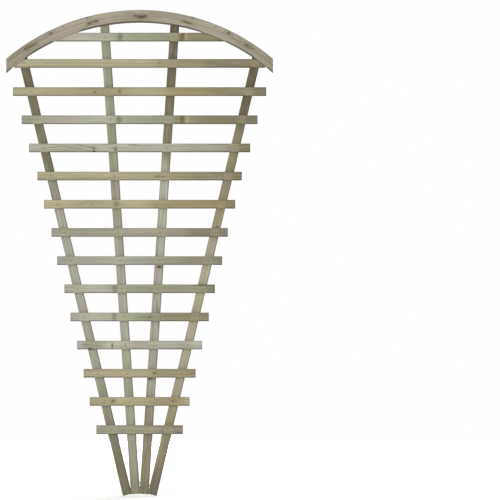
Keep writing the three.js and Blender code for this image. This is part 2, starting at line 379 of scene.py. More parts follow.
# The scales of the timber's noises, in cycles a metre along, across and through the grain.
DRIFT_SCALE = (7, 12, 12)
WANDER_SCALE = (2.2, 9, 9)
FIBRE_SCALE = (14, 620, 620)
STREAK_SCALE = (3.5, 170, 170)
BLOTCH_SCALE = (9, 38, 38)
CHECK_SCALE = (3, 130, 60)
HUE_SCALE = (8, 60, 60)
MARK_JITTER_SCALE = (60, 150, 150)
NOISE_ROUGHNESS = 0.55
NOISE_MIDDLE = 0.5

# How far apart two timbers lie in the noises, for each step between their seeds.
SEED_STEPS = (3.7, 1.3, 0.7)

# How far a tone may stray from its place, as a share of the timber's length.
TONE_DRIFT_SHARE = 0.2

# Where a noise starts and stops to change the timber, and in some what it changes from and to there.
PALE_BLOTCHES = (0.52, 0.8, 0, 0.5)
DARK_BLOTCHES = (0.46, 0.2, 0, 0.45)
PAINTED_SHADE_BLOTCHES = (0.3, 0.6)
HUES = (0.35, 0.65)
FIBRE_SHADES = (0.25, 0.75, 0.93, 1.07)
STREAK_SHADES = (0.25, 0.75, 0.88, 1.1)
TIMBER_ROUGHNESS = (0.2, 0.8, 0.74, 0.93)

# How the tones lean to pink in some places and to green in others.
PINK_TINT = (1.026, 0.98, 1.025, 1)
GREEN_TINT = (0.98, 1.014, 0.948, 1)

# The growth rings: how far apart they are and how far they wander.
RING_PITCH = 0.0042
RING_WANDER = 0.016

# How far off the pith lies, and how its place changes from one timber to the next.
PITH_ACROSS = 0.02
PITH_THROUGH = 0.03
PITH_SWING_SHARE = 0.4
PITH_TURNS = (2.4, 1.7)

# Where in a ring its dark late wood starts and is full, and where it ends.
LATE_WOOD_START = (0.3, 0.85)
LATE_WOOD_END = (1, 0.92)

# The drying checks at a timber's ends: how far they run in, and how thin they are.
CHECK_REACH = 0.07
CHECK_THINNESS = 0.012

# How much each of these darkens the timber, which is a little paler between its rings.
PALE_WOOD = 1.02
RING_SHADE = 0.11
CHECK_SHADE = 0.5
ARRIS_SHADE = 0.1
END_SHADE = 0.2

# The timber's faint gloss and its relief: heights beside the fibres', then the bump's strength and depth.
TIMBER_SPECULAR = 0.25
RING_HEIGHT = 0.35
STREAK_HEIGHT = 0.6
CHECK_HEIGHT = -1.5
TIMBER_BUMP = (0.55, 0.0006)

# The dull zinc of the nails and screws, with its white bloom and its rust specks.
ZINC_COLOURS = ("8a8774", "a19d88")
SPECK_COLOUR = "6b4a33"
BLOOM_SCALE = (700, 700, 700)
SPECK_SCALE = (1500, 1500, 1500)
BLOOM = (0.35, 0.65)
SPECKS = (0.55, 0.7, 0, 0.7)
ZINC_ROUGHNESS = (0.3, 0.7, 0.5, 0.75)
ZINC_METALLIC = 0.3
ZINC_BUMP = (0.3, 0.0002)


def linear(code):
    """An sRGB colour code as the linear colour that a shader takes."""
    channels = [int(code[i : i + 2], 16) / 255 for i in (0, 2, 4)]
    return [c / 12.92 if c <= 0.04045 else ((c + 0.055) / 1.055) ** 2.4 for c in channels] + [1]


def tone_of(name):
    return linear(TONES[name])


class Graph:
    """A material's node graph. Most methods add a node or two and return the output."""

    def __init__(self, name):
        self.material = bpy.data.materials.new(name)
        self.material.use_nodes = True
        self.tree = self.material.node_tree
        self.tree.nodes.clear()
        self.shader = self.tree.nodes.new("ShaderNodeBsdfPrincipled")
        output = self.tree.nodes.new("ShaderNodeOutputMaterial")
        self.tree.links.new(self.shader.outputs["BSDF"], output.inputs["Surface"])

    def node(self, kind, inputs, **settings):
        """Adds a node, and links or sets its inputs."""
        node = self.tree.nodes.new(kind)
        for key, value in settings.items():
            setattr(node, key, value)
        for key, value in inputs.items():
            if isinstance(value, bpy.types.NodeSocket):
                self.tree.links.new(value, node.inputs[key])
            else:
                node.inputs[key].default_value = value
        return node

    def attribute(self, name, output):
        return self.node("ShaderNodeAttribute", {}, attribute_name=name).outputs[output]

    def math(self, operation, *values):
        inputs = dict(enumerate(values))
        return self.node("ShaderNodeMath", inputs, operation=operation).outputs[0]

    def vector(self, operation, *values):
        inputs = dict(enumerate(values))
        return self.node("ShaderNodeVectorMath", inputs, operation=operation).outputs[0]

    def object_place(self):
        return self.node("ShaderNodeTexCoord", {}).outputs["Object"]

    def split(self, vector):
        return self.node("ShaderNodeSeparateXYZ", {0: vector}).outputs

    def length(self, vector):
        return self.node("ShaderNodeVectorMath", {0: vector}, operation="LENGTH").outputs["Value"]

    def noise(self, vector, scale, detail):
        """Noise about its middle, with a scale of its own along each axis."""
        scaled = self.vector("MULTIPLY", vector, scale)
        inputs = {"Vector": scaled, "Scale": 1, "Detail": detail, "Roughness": NOISE_ROUGHNESS}
        return self.node("ShaderNodeTexNoise", inputs).outputs[0]

    def spread(self, value, low, high, to_low=0, to_high=1):
        """Maps a range of values smoothly onto another."""
        inputs = {"Value": value, "From Min": low, "From Max": high, "To Min": to_low, "To Max": to_high}
        return self.node("ShaderNodeMapRange", inputs, interpolation_type="SMOOTHSTEP").outputs[0]

    def mix(self, factor, first, second):
        inputs = {0: factor, 6: first, 7: second}
        return self.node("ShaderNodeMix", inputs, data_type="RGBA").outputs[2]

    def tinted(self, colour, shade):
        """A colour made darker or lighter by a shade about 1."""
        grey = self.node("ShaderNodeCombineXYZ", {0: shade, 1: shade, 2: shade}).outputs[0]
        return self.vector("MULTIPLY", colour, grey)

    def ramp(self, factor, colours):
        """A colour ramp of evenly spaced colours."""
        node = self.node("ShaderNodeValToRGB", {0: factor})
        ramp = node.color_ramp
        ramp.interpolation = "EASE"
        middle = 0.5
        while len(ramp.elements) < len(colours):
            ramp.elements.new(middle)
        for i, colour in enumerate(colours):
            ramp.elements[i].position = i / (len(colours) - 1)
            ramp.elements[i].color = colour
        return node.outputs[0]

    def bump(self, height, strength, distance):
        inputs = {"Height": height, "Strength": strength, "Distance": distance}
        normal = self.node("ShaderNodeBump", inputs).outputs[0]
        self.tree.links.new(normal, self.shader.inputs["Normal"])

    def paint(self, **values):
        """Links or sets the shader's own sockets."""
        for key, value in values.items():
            socket = self.shader.inputs[key.replace("_", " ").title()]
            if isinstance(value, bpy.types.NodeSocket):
                self.tree.links.new(value, socket)
            else:
                socket.default_value = value


def mark_masks(graph, coords, marks):
    """Each mark's kind, its mask and, if it is a knot, the mask of its halo."""
    jitter = graph.noise(coords, MARK_JITTER_SCALE, detail=2)
    ragged = graph.math("MULTIPLY_ADD", jitter, MARK_RAGGEDNESS, -NOISE_MIDDLE * MARK_RAGGEDNESS)
    found = []
    for kind, along, across, half_length, half_width, slant in marks:
        inputs = {
            "Vector": coords,
            "Location": (along, across, 0),
            "Rotation": (0, 0, slant),
            "Scale": (half_length, half_width, 1),
        }
        offset = graph.node("ShaderNodeMapping", inputs, vector_type="TEXTURE").outputs[0]
        reach = graph.math("ADD", graph.length(offset), ragged)
        halo = graph.spread(reach, *HALO_RIM) if kind in KNOTS else None
        found.append((kind, graph.spread(reach, *MARK_RIM), halo))
    return found


def upright_behind_mask(graph, along, crossings):
    """1 where an upright lies behind the timber, else 0."""
    mask = 0
    for crossing in crossings:
        off = graph.math("ABSOLUTE", graph.math("SUBTRACT", along, crossing))
        near = graph.spread(off, CROSSING_REACH + CROSSING_SOFTNESS, CROSSING_REACH - CROSSING_SOFTNESS)
        mask = graph.math("MAXIMUM", mask, near)
    return mask


def painted_edge_shade(graph, timber, inside_end, blotches, over_upright):
    """How dark the shade is that is painted along the timber's lower or right-hand edge, the edge opposite
    and the ends, cut back over the uprights.
    """
    width, darkness, end_share = timber.painted_shade
    far_width = FAR_WIDTH_SHARE * width
    edge = graph.spread(graph.attribute("inside", "Fac"), width, PAINTED_SHADE_FULL_SHARE * width)
    far_edge = graph.spread(graph.attribute("inside_far", "Fac"), far_width, PAINTED_SHADE_FULL_SHARE * far_width)
    end = graph.spread(inside_end, far_width, PAINTED_SHADE_FULL_SHARE * far_width)
    painted_shade = graph.math("MULTIPLY_ADD", far_edge, FAR_PAINTED_SHADE_SHARE, edge)
    painted_shade = graph.math("MAXIMUM", painted_shade, graph.math("MULTIPLY", end, end_share))
    patches = graph.spread(blotches, *PAINTED_SHADE_BLOTCHES, PAINTED_SHADE_LEAST_SHARE * darkness, darkness)
    painted_shade = graph.math("MULTIPLY", painted_shade, patches)
    return graph.math("MULTIPLY", painted_shade, graph.math("MULTIPLY_ADD", over_upright, -PAINTED_SHADE_CUT_OVER_UPRIGHTS, 1))


def growth_rings(graph, coords, seeded, seed, wander_share, masks):
    """The dark late wood of the rings, which shows as lines on the faces and as arcs on the ends."""
    wander = graph.noise(seeded, WANDER_SCALE, detail=2)
    wander = graph.math("MULTIPLY", wander, RING_WANDER * wander_share)
    for *_, halo in masks:
        if halo:
            wander = graph.math("MULTIPLY_ADD", halo, RING_PITCH, wander)
    across_turn, through_turn = PITH_TURNS
    pith_across = PITH_ACROSS * math.sin(across_turn * seed)
    pith_through = PITH_THROUGH * (1 + PITH_SWING_SHARE * math.cos(through_turn * seed))
    off_pith = graph.vector("SUBTRACT", coords, (0, pith_across, pith_through))
    radius = graph.length(graph.vector("MULTIPLY", off_pith, (0, 1, 1)))
    turns = graph.math("DIVIDE", graph.math("ADD", radius, wander), RING_PITCH)
    ring = graph.math("FRACT", turns)
    return graph.math("MULTIPLY", graph.spread(ring, *LATE_WOOD_START), graph.spread(ring, *LATE_WOOD_END))


def drying_checks(graph, seeded, inside_end):
    """Thin cracks along the grain, which run in from the timber's ends."""
    crack = graph.noise(seeded, CHECK_SCALE, detail=1)
    off_line = graph.math("ABSOLUTE", graph.math("SUBTRACT", crack, NOISE_MIDDLE))
    line = graph.spread(off_line, CHECK_THINNESS, 0)
    return graph.math("MULTIPLY", line, graph.spread(inside_end, CHECK_REACH, 0))


def drifting_tones(graph, name, seeded, share):
    """The timber's own tones, which follow each other along it."""
    drift = graph.noise(seeded, DRIFT_SCALE, detail=2)
    stray = graph.math("MULTIPLY_ADD", drift, TONE_DRIFT_SHARE, -NOISE_MIDDLE * TONE_DRIFT_SHARE)
    tones = [tone_of(tone) for tone in TIMBER_TONES[name].split()]
    return graph.ramp(graph.math("ADD", share, stray), tones)


def blotched(graph, colour, name, blotches):
    """A colour that turns paler in some blotches and darker in others."""
    pale, dark = BLOTCH_TONES.get(name, USUAL_BLOTCH_TONES)
    colour = graph.mix(graph.spread(blotches, *PALE_BLOTCHES), colour, tone_of(pale))
    return graph.mix(graph.spread(blotches, *DARK_BLOTCHES), colour, tone_of(dark))


def marked(graph, colour, masks):
    """A colour with the stains, the knots and their halos over it."""
    for kind, mask, halo in masks:
        if halo:
            colour = graph.mix(graph.math("MULTIPLY", halo, HALO_STRENGTH), colour, tone_of(HALO_TONE))
        strength = graph.math("MULTIPLY", mask, MARK_STRENGTHS.get(kind, USUAL_MARK_STRENGTH))
        colour = graph.mix(strength, colour, tone_of(kind))
    return colour


def hued(graph, colour, seeded):
    """A colour that leans to pink in some places and to green in others."""
    hues = graph.noise(seeded, HUE_SCALE, detail=2)
    return graph.vector("MULTIPLY", colour, graph.mix(graph.spread(hues, *HUES), PINK_TINT, GREEN_TINT))


def timber_material(name, timber, marks):
    """Weathered softwood: drifting tones, growth rings, fibres, stains, knots and drying checks."""
    graph = Graph(f"weathered_{name}")
    wander_share, ring_share = FIGURES.get(name, USUAL_FIGURE)
    coords = graph.attribute("grain", "Vector")
    seeded = graph.vector("ADD", coords, [step * timber.seed for step in SEED_STEPS])
    place = graph.split(coords)[0]
    along = graph.math("SUBTRACT", place, timber.start)
    from_middle = graph.math("ABSOLUTE", graph.math("SUBTRACT", along, timber.length / 2))
    inside_end = graph.math("SUBTRACT", timber.length / 2, from_middle)

    blotches = graph.noise(seeded, BLOTCH_SCALE, detail=4)
    fibres = graph.noise(seeded, FIBRE_SCALE, detail=3)
    streaks = graph.noise(seeded, STREAK_SCALE, detail=3)
    over_upright = upright_behind_mask(graph, place, timber.crossings)
    masks = mark_masks(graph, coords, marks)
    rings = growth_rings(graph, coords, seeded, timber.seed, wander_share, masks)
    checks = drying_checks(graph, seeded, inside_end)
    # Painted shade along each timber's lower or right-hand edge, taken off the colour below.
    painted_shade = painted_edge_shade(graph, timber, inside_end, blotches, over_upright)

    colour = drifting_tones(graph, name, seeded, graph.math("DIVIDE", along, timber.length))
    colour = blotched(graph, colour, name, blotches)
    colour = graph.mix(graph.math("MULTIPLY", over_upright, DRY_TINT), colour, tone_of(DRY_TONE))
    colour = hued(graph, marked(graph, colour, masks), seeded)
    shades = (
        graph.spread(rings, 0, 1, PALE_WOOD, PALE_WOOD - RING_SHADE * ring_share),
        graph.spread(fibres, *FIBRE_SHADES),
        graph.spread(streaks, *STREAK_SHADES),
        graph.math("SUBTRACT", 1, painted_shade),
        graph.math("MULTIPLY_ADD", checks, -CHECK_SHADE, 1),
        graph.math("MULTIPLY_ADD", graph.attribute("edge", "Fac"), -ARRIS_SHADE, 1),
        graph.math("MULTIPLY_ADD", graph.attribute("end", "Fac"), -END_SHADE, 1),
    )
    shade = shades[0]
    for other in shades[1:]:
        shade = graph.math("MULTIPLY", shade, other)

    graph.paint(base_color=graph.tinted(colour, shade), roughness=graph.spread(fibres, *TIMBER_ROUGHNESS))
    graph.shader.inputs["Specular IOR Level"].default_value = TIMBER_SPECULAR
    height = graph.math("MULTIPLY_ADD", rings, RING_HEIGHT, fibres)
    height = graph.math("MULTIPLY_ADD", streaks, STREAK_HEIGHT, height)
    height = graph.math("MULTIPLY_ADD", checks, CHECK_HEIGHT, height)
    graph.bump(height, *TIMBER_BUMP)
    return graph.material


def steel_material():
    """Dull zinc plating on steel, with white bloom and rust specks."""
    graph = Graph("dull_zinc")
    place = graph.object_place()
    bloom = graph.noise(place, BLOOM_SCALE, detail=3)
    specks = graph.noise(place, SPECK_SCALE, detail=2)
    colour = graph.mix(graph.spread(bloom, *BLOOM), *map(linear, ZINC_COLOURS))
    colour = graph.mix(graph.spread(specks, *SPECKS), colour, linear(SPECK_COLOUR))
    roughness = graph.spread(bloom, *ZINC_ROUGHNESS)
    graph.paint(base_color=colour, roughness=roughness, metallic=ZINC_METALLIC)
    graph.bump(bloom, *ZINC_BUMP)
    return graph.material


def finished(mesh, name):
    """Turns a bmesh into the data of an object."""
    data = bpy.data.meshes.new(name)
    mesh.to_mesh(data)
    mesh.free()
    return data


def skin(mesh, rings):
    """Joins rings of points by faces. A ring may be one point many times over."""
    count = len(rings[0])
    for first, second in zip(rings, rings[1:]):
        for i in range(count):
            after = (i + 1) % count
            mesh.faces.new(dict.fromkeys((first[i], first[after], second[after], second[i])))


def eased_ring(half_width, half_depth, inset):
    """The points round an eased section, drawn in by inset, as (across, through, share of an arris).

    That share is 1 on an arris and 0 on a flat. The first half of the points runs along the front, from
    edge to edge, and the second half back along the rear.
    """
    radius = ARRIS - inset
    flat = half_width - ARRIS
    front = []
    for side, first_angle in ((-1, math.pi), (1, 3 * math.pi / 2)):
        for i in range(ARRIS_STEPS + 1):
            angle = first_angle + math.pi / 2 * i / ARRIS_STEPS
            across = side * flat + radius * math.cos(angle)
            through = -(half_depth - ARRIS) + radius * math.sin(angle)
            front.append((across, through, 1 if 0 < i < ARRIS_STEPS else ARRIS_END_SHARE))
        if side < 0:
            for i in range(1, ACROSS_STEPS):
                front.append((flat * (2 * i / ACROSS_STEPS - 1), inset - half_depth, 0))
    rear = [(across, -through, edge) for across, through, edge in reversed(front)]
    return front + rear


def stations(length):
    """The sections of a timber from end to end, as (share of the length, how far drawn in)."""
    count = math.ceil(length / STATION_STEP)
    eased = []
    for i in range(ARRIS_STEPS, 0, -1):
        angle = math.pi / 2 * i / ARRIS_STEPS
        drawn_in = min(1 - math.cos(angle), CAP_SHARE)
        eased.append((END_ARRIS * (1 - math.sin(angle)) / length, END_ARRIS * drawn_in))
    plain_start = END_ARRIS / length
    plain = [(plain_start + (1 - 2 * plain_start) * i / count, 0) for i in range(count + 1)]
    return eased + plain + [(1 - share, inset) for share, inset in reversed(eased)]


def timber_mesh(name, timber):
    """A closed, eased timber, whose sections timber.place() puts where they belong."""
    mesh = bmesh.new()
    edge_layer = mesh.verts.layers.float.new("edge")
    end_layer = mesh.verts.layers.float.new("end")
    places = stations(timber.length)
    rings = []
    for i, (share, inset) in enumerate(places):
        ring = []
        for across, through, edge in eased_ring(timber.half_width(share), timber.half_depth, inset):
            vert = mesh.verts.new(timber.place(share, across, through))
            vert[edge_layer] = edge
            vert[end_layer] = 1 if i in (0, len(places) - 1) else 0
            ring.append(vert)
        rings.append(ring)
    skin(mesh, rings)
    cap(mesh, rings)
    bmesh.ops.recalc_face_normals(mesh, faces=mesh.faces)
    weather(mesh, edge_layer, timber.seed)
    return finished(mesh, name)


def cap(mesh, rings):
    """Closes both ends of a timber by strips from its front to its rear."""
    count = len(rings[0])
    for i in range(count // 2 - 1):
        corners = (i, i + 1, count - 2 - i, count - 1 - i)
        mesh.faces.new([rings[0][j] for j in reversed(corners)])
        mesh.faces.new([rings[-1][j] for j in corners])


def weather(mesh, edge_layer, seed):
    """Eats into the faces in slow waves and into the arrises in small dents."""
    mesh.normal_update()
    offset = Vector((seed, 2 * seed, 3 * seed))
    for vert in mesh.verts:
        wave = (1 + noise.noise(vert.co * WAVE_SCALE + offset)) / 2
        dent = max(0, noise.noise(vert.co * WEAR_SCALE + offset)) * vert[edge_layer]
        vert.co -= vert.normal * (FACE_WAVE * wave + EDGE_WEAR * dent)


class Timber:
    """What the timbers have in common: their box, their layer, and a width that is the same all along."""

    def __init__(self, node, seed, painted_shade, crossings=()):
        self.low, self.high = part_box(node)
        self.middle_y = (self.low.y + self.high.y) / 2
        self.half_depth = (self.high.y - self.low.y) / 2
        self.seed = seed
        # The width and darkness of the shade painted along the timber's edge, and at its ends.
        self.painted_shade = painted_shade
        self.crossings = crossings

    def half_width(self, share):
        return self.edge


class Slat(Timber):
    """A straight slat, square or scribed to the rail's underside at its ends."""

    def __init__(self, node, seed, rail, crossings):
        super().__init__(node, seed, SLAT_PAINTED_SHADE, crossings)
        self.rail = rail
        self.length = 2 * self.high.x
        self.start = -self.high.x
        self.edge = (self.high.z - self.low.z) / 2
        self.middle_z = (self.low.z + self.high.z) / 2

    def place(self, share, across, through):
        z = self.middle_z + across
        end = min(self.high.x, self.rail.half_width_under(z) - SCRIBE_GAP)
        return Vector(((2 * share - 1) * end, self.middle_y + through, z))

    def grain(self, point):
        return point.x, point.z - self.middle_z, point.y - self.middle_y

    def inside_shaded_edge(self, point):
        """How far a point is inside the lower edge, along which shade is painted."""
        return self.edge + point.z - self.middle_z

    def inside_far_edge(self, point):
        return self.edge - point.z + self.middle_z


class Upright(Timber):
    """A leaning batten, planed at its foot beside its neighbour and trimmed to the rail's top."""

    def __init__(self, node, seed, rail):
        super().__init__(node, seed, UPRIGHT_PAINTED_SHADE)
        side_name, place_name = node.split("_")[1:]
        lean = LEANS[place_name]
        self.side = -1 if side_name == "left" else 1
        self.rail = rail
        self.up = Vector((self.side * math.sin(lean), math.cos(lean)))
        self.inward = Vector((-self.side * math.cos(lean), math.sin(lean)))
        top_x = self.high.x if self.side > 0 else self.low.x
        top = Vector((top_x, rail.outer_height(top_x)))
        self.foot = top - self.up * ((top.y - self.low.z) / math.cos(lean))
        self.length = (top - self.foot).length
        self.start = 0
        self.edge = UPRIGHT_WIDTH / 2
        self.bevel = FOOT_BEVELS[place_name]
        neighbour_lean = LEANS["inner"] if place_name == "outer" else 0
        self.bevel_height = self.bevel / math.tan(lean - neighbour_lean)

    def face_point(self, inward, along):
        return self.foot + self.inward * inward + self.up * along

    def place(self, share, across, through):
        inward = self.edge - self.side * across
        along = share * self.rail.length_to_top(self.face_point(inward, 0), self.up)
        planed = self.bevel * max(0, 1 - along / self.bevel_height)
        inward *= 1 - planed / UPRIGHT_WIDTH
        point = self.face_point(inward, along)
        return Vector((point.x, self.middle_y + through, point.y))

    def grain(self, point):
        offset = Vector((point.x, point.z)) - self.foot
        across = self.side * (self.edge - offset.dot(self.inward))
        return offset.dot(self.up), across, point.y - self.middle_y

    def inside_shaded_edge(self, point):
        """How far a point is inside the right-hand edge, along which shade is painted."""
        return self.edge - self.grain(point)[1]

    def inside_far_edge(self, point):
        return self.edge + self.grain(point)[1]

    def centre_line(self, height):
        """The x of the centre line at a height."""
        start = self.face_point(self.edge, 0)
        return start.x + (height - start.y) * self.up.x / self.up.y


class Rail(Timber):
    """The bowed rail, between its outer arc and its flatter inner one."""

    def __init__(self, node, seed):
        super().__init__(node, seed, RAIL_PAINTED_SHADE)
        half_span = self.high.x
        self.outer_centre = self.high.z - RAIL_OUTER_RADIUS
        crown_underside = self.high.z - RAIL_CROWN_DEPTH
        rise = crown_underside - self.low.z
        self.inner_radius = (half_span**2 + rise**2) / (2 * rise)
        self.inner_centre = crown_underside - self.inner_radius
        self.end_angle = math.asin(half_span / RAIL_OUTER_RADIUS)
        self.length = 2 * self.end_angle * RAIL_OUTER_RADIUS
        self.start = -self.length / 2
        self.edge = RAIL_CROWN_DEPTH / 2
        self.middle_radius = RAIL_OUTER_RADIUS - self.edge
        self.slat_heights = [(low.z, high.z) for low, high in map(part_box, SCRIBED_SLATS)]

    def outer_height(self, x):
        return self.outer_centre + math.sqrt(RAIL_OUTER_RADIUS**2 - x**2)

    def inner_height(self, x):
        return self.inner_centre + math.sqrt(self.inner_radius**2 - x**2)

    def half_width_under(self, z):
        """How far from the centre line the rail's underside is at a height, where it comes so low."""
        rise = z - self.inner_centre
        return math.sqrt(self.inner_radius**2 - rise**2) if rise > 0 else math.inf

    def length_to_top(self, point, direction):
        """How far along a line the rail's outer arc is met."""
        offset = point - Vector((0, self.outer_centre))
        along = offset.dot(direction)
        return math.sqrt(along**2 - offset.length_squared + RAIL_OUTER_RADIUS**2) - along

    def x_at(self, share):
        return RAIL_OUTER_RADIUS * math.sin((2 * share - 1) * self.end_angle)

    def slope_cosine(self, share):
        return math.cos((2 * share - 1) * self.end_angle)

    def half_width(self, share):
        x = self.x_at(share)
        return (self.outer_height(x) - self.inner_height(x)) / 2 * self.slope_cosine(share)

    def place(self, share, across, through):
        x = self.x_at(share)
        middle = (self.outer_height(x) + self.inner_height(x)) / 2
        return Vector((x, self.middle_y + through, middle + across / self.slope_cosine(share)))

    def grain(self, point):
        offset = Vector((point.x, point.z - self.outer_centre))
        along = math.atan2(offset.x, offset.y) * RAIL_OUTER_RADIUS
        return along, offset.length - self.middle_radius, point.y - self.middle_y

    def inside_shaded_edge(self, point):
        """How far a point is inside the underside's painted shade, which stops where a slat lies tight
        against it.
        """
        height = self.inner_height(point.x)
        overlap = max(min(height - low, high - height) for low, high in self.slat_heights)
        closed = min(1, max(0, 1 + overlap / JOINT_TAPER))
        tightness = RIGHT_JOINT_TIGHTNESS if point.x > 0 else 1
        return point.z - height + closed * tightness * RAIL_PAINTED_SHADE[0]

    def inside_far_edge(self, point):
        return RAIL_OUTER_RADIUS - math.hypot(point.x, point.z - self.outer_centre)


def new_object(name, data):
    """Puts a mesh, a lamp or the camera into the scene."""
    item = bpy.data.objects.new(name, data)
    bpy.context.scene.collection.objects.link(item)
    return item


def turned_mesh(name, profile):
    """A turned steel piece along y, with its top facing -Y, from (radius, distance behind its top)."""
    mesh = bmesh.new()
    angles = [2 * math.pi * i / TURNED_SIDES for i in range(TURNED_SIDES)]
    rings = []
    for radius, behind in profile:
        if radius == 0:
            rings.append([mesh.verts.new((0, behind, 0))] * TURNED_SIDES)
        else:
            corners = [(radius * math.cos(angle), behind, radius * math.sin(angle)) for angle in angles]
            rings.append([mesh.verts.new(corner) for corner in corners])
    skin(mesh, rings)
    bmesh.ops.recalc_face_normals(mesh, faces=mesh.faces)
    data = finished(mesh, name)
    smooth(data)
    return data


def smooth(data):
    """Shades a mesh smooth between its sharp edges."""
    data.shade_smooth()
    data.set_sharp_from_angle(angle=SHARP_ANGLE)


def carve(piece, cutter_data):
    """Cuts one closed mesh out of a piece for good."""
    cutter = new_object("cutter", cutter_data)
    modifier = piece.modifiers.new("carve", "BOOLEAN")
    modifier.operation = "DIFFERENCE"
    modifier.solver = "EXACT"
    modifier.object = cutter
    evaluated = piece.evaluated_get(bpy.context.evaluated_depsgraph_get())
    data = bpy.data.meshes.new_from_object(evaluated)
    piece.modifiers.clear()
    old = piece.data
    piece.data = data
    data.name = old.name
    bpy.data.meshes.remove(old)
    bpy.data.objects.remove(cutter)
    bpy.data.meshes.remove(cutter_data)


def pit_cutter(points):
    """The pits of several nail heads as one closed mesh, from the points where the nails enter a face."""
    mesh = bmesh.new()
    turn = Matrix.Rotation(math.radians(90), 4, "X")
    for point in points:
        bmesh.ops.create_cone(
            mesh,
            cap_ends=True,
            segments=TURNED_SIDES,
            radius1=PIT_RADIUS,
            radius2=PIT_RADIUS,
            depth=2 * PIT_DEPTH,
            matrix=Matrix.Translation(point) @ turn,
        )
    return finished(mesh, "pits")


def write_grain(data, timber):
    """Gives each point its place along, across and through the grain, and how far inside two edges it is.

    One is the edge along which shade is painted, and the other is the edge opposite.
    """
    points = [vert.co for vert in data.vertices]
    grain = [part for point in points for part in timber.grain(point)]
    inside = [timber.inside_shaded_edge(point) for point in points]
    inside_far = [timber.inside_far_edge(point) for point in points]
    data.attributes.new("grain", "FLOAT_VECTOR", "POINT").data.foreach_set("vector", grain)
    data.attributes.new("inside", "FLOAT", "POINT").data.foreach_set("value", inside)
    data.attributes.new("inside_far", "FLOAT", "POINT").data.foreach_set("value", inside_far)


def marks_of(node, timber, nail_points):
    """A timber's knots, its stains and the iron stains round its nails, in metres.

    The places in MARK_SHARES are shares of the timber's length and half-width, and the sizes are shares of
    its width.
    """
    marks = []
    width = 2 * timber.edge
    for kind, along_share, across_share, long_share, wide_share, *slant in MARK_SHARES[node]:
        along = timber.start + along_share * timber.length
        across = across_share * timber.edge
        turn = math.radians(sum(slant))
        marks.append((kind, along, across, long_share * width, wide_share * width, turn))
    for point in nail_points:
        along, across, _ = timber.grain(point)
        marks.append(("iron", along, across, *IRON_STAIN_REACH, 0))
    return marks


def nail_profile(length):
    """A round nail with a slightly domed, eased head and a drawn point."""
    return [
        (0, 0),
        (NAIL_DOME_RADIUS, NAIL_DOME_HEIGHT),
        (NAIL_RIM_RADIUS, NAIL_RIM_HEIGHTS[0]),
        (NAIL_HEAD_RADIUS, NAIL_RIM_HEIGHTS[1]),
        (NAIL_HEAD_RADIUS, NAIL_HEAD_THICKNESS),
        (NAIL_SHANK_RADIUS, NAIL_HEAD_THICKNESS),
        (NAIL_SHANK_RADIUS, length - NAIL_POINT_LENGTH),
        (0, length),
    ]


def screw_profile():
    """A countersunk screw. Its head's face is nearly flat."""
    return [
        (0, 0),
        (SCREW_FACE_RADIUS, 0),
        (SCREW_HEAD_RADIUS, SCREW_RIM_HEIGHT),
        (SCREW_SHANK_RADIUS, SCREW_HEAD_HEIGHT),
        (SCREW_SHANK_RADIUS, SCREW_LENGTH - SCREW_POINT_LENGTH),
        (0, SCREW_LENGTH),
    ]


def recess_cutter():
    """The cross recess of a screw's head, as one closed prism."""
    reach = SCREW_RECESS_LENGTH / 2
    half_width = SCREW_RECESS_WIDTH / 2
    arm = [Vector((reach, -half_width)), Vector((reach, half_width)), Vector((half_width, half_width))]
    quarter_turns = [Matrix.Rotation(math.radians(90) * i, 2) for i in range(4)]
    outline = [turn @ corner for turn in quarter_turns for corner in arm]
    mesh = bmesh.new()
    face = mesh.faces.new([mesh.verts.new((x, -SCREW_RECESS_DEPTH, z)) for x, z in outline])
    pulled = bmesh.ops.extrude_face_region(mesh, geom=[face])["geom"]
    corners = [item for item in pulled if isinstance(item, bmesh.types.BMVert)]
    bmesh.ops.translate(mesh, verts=corners, vec=(0, 2 * SCREW_RECESS_DEPTH, 0))
    bmesh.ops.recalc_face_normals(mesh, faces=mesh.faces)
    return finished(mesh, "recess")


def settle(piece, slot, *nodes):
    """Makes a piece ride on the trellis, in place of the CAD nodes that it stands for."""
    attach(piece, "root")
    if nodes:
        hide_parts(*nodes)


def build_timber(node, timber, slot, nail_points=()):
    """One timber with its nail pits, its grain and its own weathered material."""
    piece = new_object(f"timber_{node}", timber_mesh(f"timber_{node}", timber))
    if nail_points:
        carve(piece, pit_cutter(nail_points))
    write_grain(piece.data, timber)
    smooth(piece.data)
    piece.data.materials.append(timber_material(node, timber, marks_of(node, timber, nail_points)))
    settle(piece, slot, node)


def build_screw(side_name, upright, steel):
    """A foot screw, square to the outer upright's edge, with a cross recess in its head."""
    data = turned_mesh(f"countersunk_screw_{side_name}", screw_profile())
    piece = new_object(f"countersunk_screw_{side_name}", data)
    carve(piece, recess_cutter())
    smooth(piece.data)
    piece.data.materials.append(steel)
    start = upright.face_point(0, SCREW_HEIGHTS[side_name])
    inward = Vector((upright.inward.x, 0, upright.inward.y))
    turn = Vector((0, 1, 0)).rotation_difference(inward).to_matrix().to_4x4()
    piece.matrix_world = Matrix.Translation((start.x, upright.middle_y, start.y)) @ turn
    settle(piece, "zinced_steel", f"foot_screw_{side_name}")


def nail_mesh(name, node, steel):
    """The mesh that all nails of a kind share, as long as the box of one of their CAD nodes."""
    low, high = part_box(node)
    data = turned_mesh(name, nail_profile(high.y - low.y))
    data.materials.append(steel)
    return data


def build_nail(name, data, entry):
    """A nail, sunk a little into the face that it enters, in place of its CAD node if it has one."""
    node = f"nail_{name}"
    piece = new_object(f"round_nail_{name}", data)
    piece.location = entry + Vector((0, NAIL_SINK, 0))
    settle(piece, "zinced_steel", *([node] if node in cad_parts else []))


